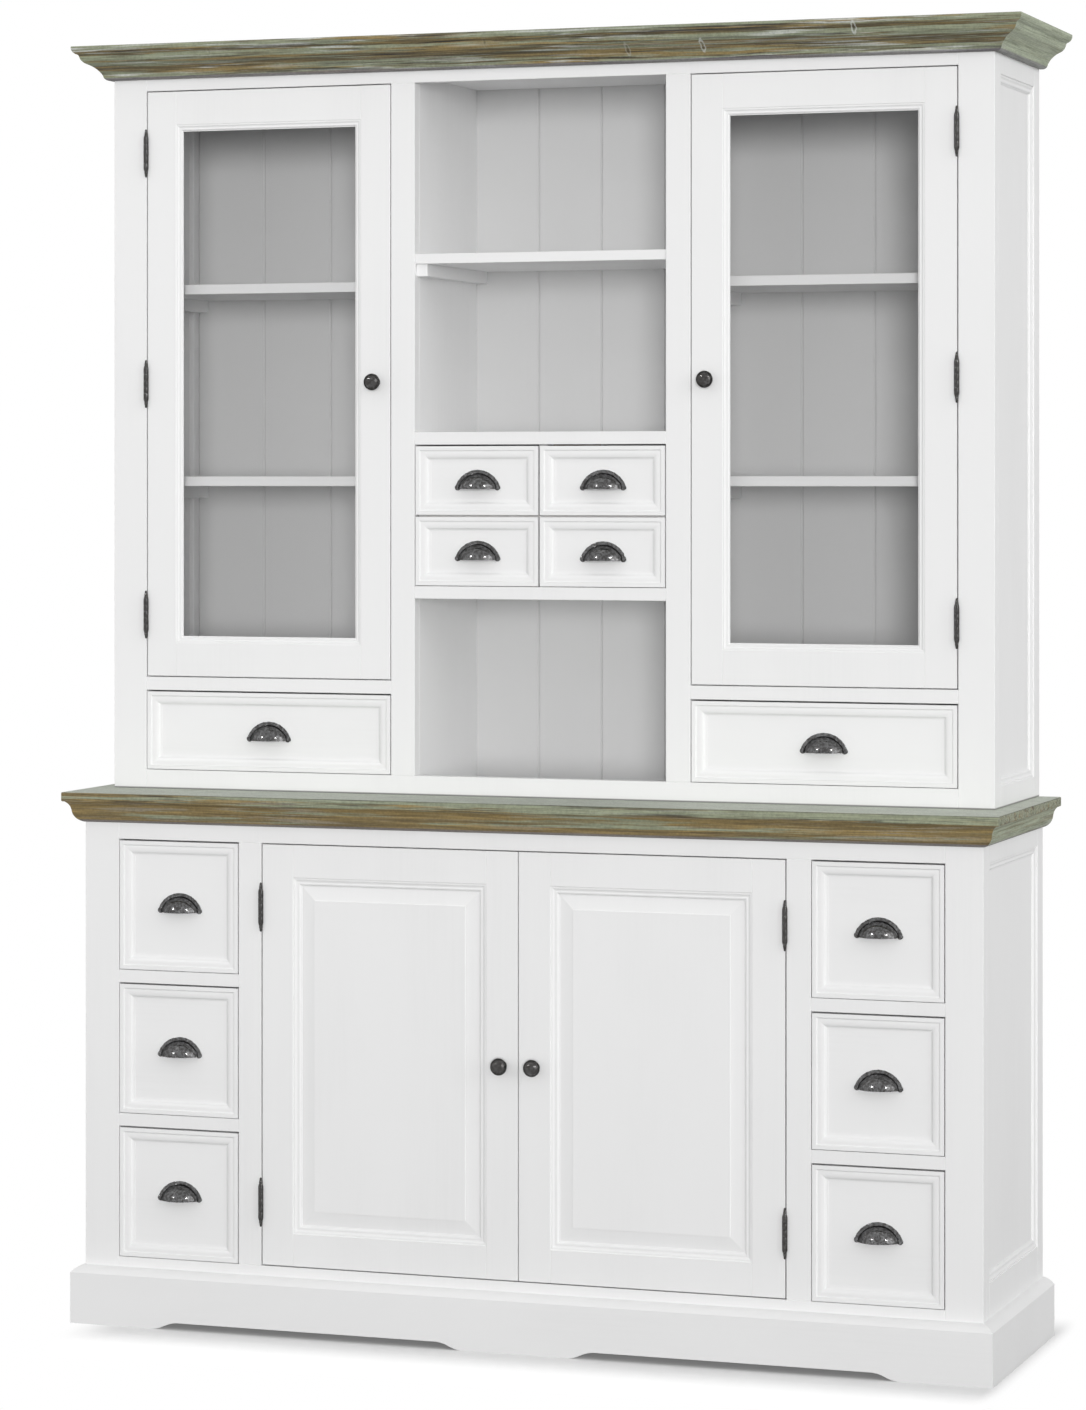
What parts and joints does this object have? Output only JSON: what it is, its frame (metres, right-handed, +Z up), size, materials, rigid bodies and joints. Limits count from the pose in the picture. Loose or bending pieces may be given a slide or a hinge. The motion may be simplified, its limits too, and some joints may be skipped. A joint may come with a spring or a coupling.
{
  "type": "buffet cabinet",
  "caption": "White painted buffet cabinet with a glazed hutch, panelled cupboard doors, drawers with cup pulls, open niches and a weathered wood counter top and cornice.",
  "frame": {"origin": "floor under the middle of the cabinet's outer box", "axes": "+Z up, +X to the right seen from the front, +Y to the back"},
  "size_m": [1.682, 0.462, 2.2],
  "materials": {
    "white_paint": "satin white paint on wood",
    "weathered_wood": "brushed and limed weathered wood",
    "dark_iron": "dark burnished iron",
    "clear_glass": "clear float glass"
  },
  "bodies": {
    "cabinet": {"base_back_boards": "white_paint", "base_drawer_runners": "white_paint", "base_face_frame": "white_paint", "base_floor": "white_paint", "base_partitions": "white_paint", "base_shelf": "white_paint", "base_side_left": "white_paint", "base_side_right": "white_paint", "base_top_boards": "weathered_wood", "base_top_moulding": "weathered_wood", "cleats_and_stops": "white_paint", "cornice": "weathered_wood", "hinge_frame_leaves": "dark_iron", "hutch_back_boards": "white_paint", "hutch_decks": "white_paint", "hutch_drawer_guides": "white_paint", "hutch_face_frame": "white_paint", "hutch_partitions": "white_paint", "hutch_shelves": "white_paint", "hutch_side_left": "white_paint", "hutch_side_right": "white_paint", "plinth": "white_paint"},
    "base_drawer_left_bottom": {"base_drawer_left_bottom": "white_paint", "base_drawer_left_bottom_pull": "dark_iron"},
    "base_drawer_left_middle": {"base_drawer_left_middle": "white_paint", "base_drawer_left_middle_pull": "dark_iron"},
    "base_drawer_left_top": {"base_drawer_left_top": "white_paint", "base_drawer_left_top_pull": "dark_iron"},
    "base_drawer_right_bottom": {"base_drawer_right_bottom": "white_paint", "base_drawer_right_bottom_pull": "dark_iron"},
    "base_drawer_right_middle": {"base_drawer_right_middle": "white_paint", "base_drawer_right_middle_pull": "dark_iron"},
    "base_drawer_right_top": {"base_drawer_right_top": "white_paint", "base_drawer_right_top_pull": "dark_iron"},
    "wide_drawer_left": {"wide_drawer_left": "white_paint", "wide_drawer_left_pull": "dark_iron"},
    "wide_drawer_right": {"wide_drawer_right": "white_paint", "wide_drawer_right_pull": "dark_iron"},
    "small_drawer_lower_left": {"small_drawer_lower_left": "white_paint", "small_drawer_lower_left_pull": "dark_iron"},
    "small_drawer_upper_left": {"small_drawer_upper_left": "white_paint", "small_drawer_upper_left_pull": "dark_iron"},
    "small_drawer_lower_right": {"small_drawer_lower_right": "white_paint", "small_drawer_lower_right_pull": "dark_iron"},
    "small_drawer_upper_right": {"small_drawer_upper_right": "white_paint", "small_drawer_upper_right_pull": "dark_iron"},
    "base_door_left": {"base_door_left": "white_paint", "base_door_left_knob": "dark_iron", "base_door_left_hinge_leaves": "dark_iron"},
    "glass_door_left": {"glass_door_left_frame": "white_paint", "glass_door_left_glass": "clear_glass", "glass_door_left_knob": "dark_iron", "glass_door_left_hinge_leaves": "dark_iron"},
    "base_door_right": {"base_door_right": "white_paint", "base_door_right_knob": "dark_iron", "base_door_right_hinge_leaves": "dark_iron"},
    "glass_door_right": {"glass_door_right_frame": "white_paint", "glass_door_right_glass": "clear_glass", "glass_door_right_knob": "dark_iron", "glass_door_right_hinge_leaves": "dark_iron"}
  },
  "joints": [
    {"name": "base_drawer_left_bottom_slide", "type": "slide", "parent": "cabinet", "child": "base_drawer_left_bottom", "axis": [0, -1, 0], "range_m": [0, 0.28]},
    {"name": "base_drawer_left_middle_slide", "type": "slide", "parent": "cabinet", "child": "base_drawer_left_middle", "axis": [0, -1, 0], "range_m": [0, 0.28]},
    {"name": "base_drawer_left_top_slide", "type": "slide", "parent": "cabinet", "child": "base_drawer_left_top", "axis": [0, -1, 0], "range_m": [0, 0.28]},
    {"name": "base_drawer_right_bottom_slide", "type": "slide", "parent": "cabinet", "child": "base_drawer_right_bottom", "axis": [0, -1, 0], "range_m": [0, 0.28]},
    {"name": "base_drawer_right_middle_slide", "type": "slide", "parent": "cabinet", "child": "base_drawer_right_middle", "axis": [0, -1, 0], "range_m": [0, 0.28]},
    {"name": "base_drawer_right_top_slide", "type": "slide", "parent": "cabinet", "child": "base_drawer_right_top", "axis": [0, -1, 0], "range_m": [0, 0.28]},
    {"name": "wide_drawer_left_slide", "type": "slide", "parent": "cabinet", "child": "wide_drawer_left", "axis": [0, -1, 0], "range_m": [0, 0.2]},
    {"name": "wide_drawer_right_slide", "type": "slide", "parent": "cabinet", "child": "wide_drawer_right", "axis": [0, -1, 0], "range_m": [0, 0.2]},
    {"name": "small_drawer_lower_left_slide", "type": "slide", "parent": "cabinet", "child": "small_drawer_lower_left", "axis": [0, -1, 0], "range_m": [0, 0.2]},
    {"name": "small_drawer_upper_left_slide", "type": "slide", "parent": "cabinet", "child": "small_drawer_upper_left", "axis": [0, -1, 0], "range_m": [0, 0.2]},
    {"name": "small_drawer_lower_right_slide", "type": "slide", "parent": "cabinet", "child": "small_drawer_lower_right", "axis": [0, -1, 0], "range_m": [0, 0.2]},
    {"name": "small_drawer_upper_right_slide", "type": "slide", "parent": "cabinet", "child": "small_drawer_upper_right", "axis": [0, -1, 0], "range_m": [0, 0.2]},
    {"name": "base_door_left_hinge", "type": "hinge", "parent": "cabinet", "child": "base_door_left", "pos_m": [-0.4613, -0.2036, 0.474], "axis": [0, 0, -1], "range_deg": [0, 90]},
    {"name": "glass_door_left_hinge", "type": "hinge", "parent": "cabinet", "child": "glass_door_left", "pos_m": [-0.7218, -0.0996, 1.6145], "axis": [0, 0, -1], "range_deg": [0, 165]},
    {"name": "base_door_right_hinge", "type": "hinge", "parent": "cabinet", "child": "base_door_right", "pos_m": [0.4613, -0.2036, 0.474], "axis": [0, 0, 1], "range_deg": [0, 90]},
    {"name": "glass_door_right_hinge", "type": "hinge", "parent": "cabinet", "child": "glass_door_right", "pos_m": [0.7218, -0.0996, 1.6145], "axis": [0, 0, 1], "range_deg": [0, 165]}
  ]
}
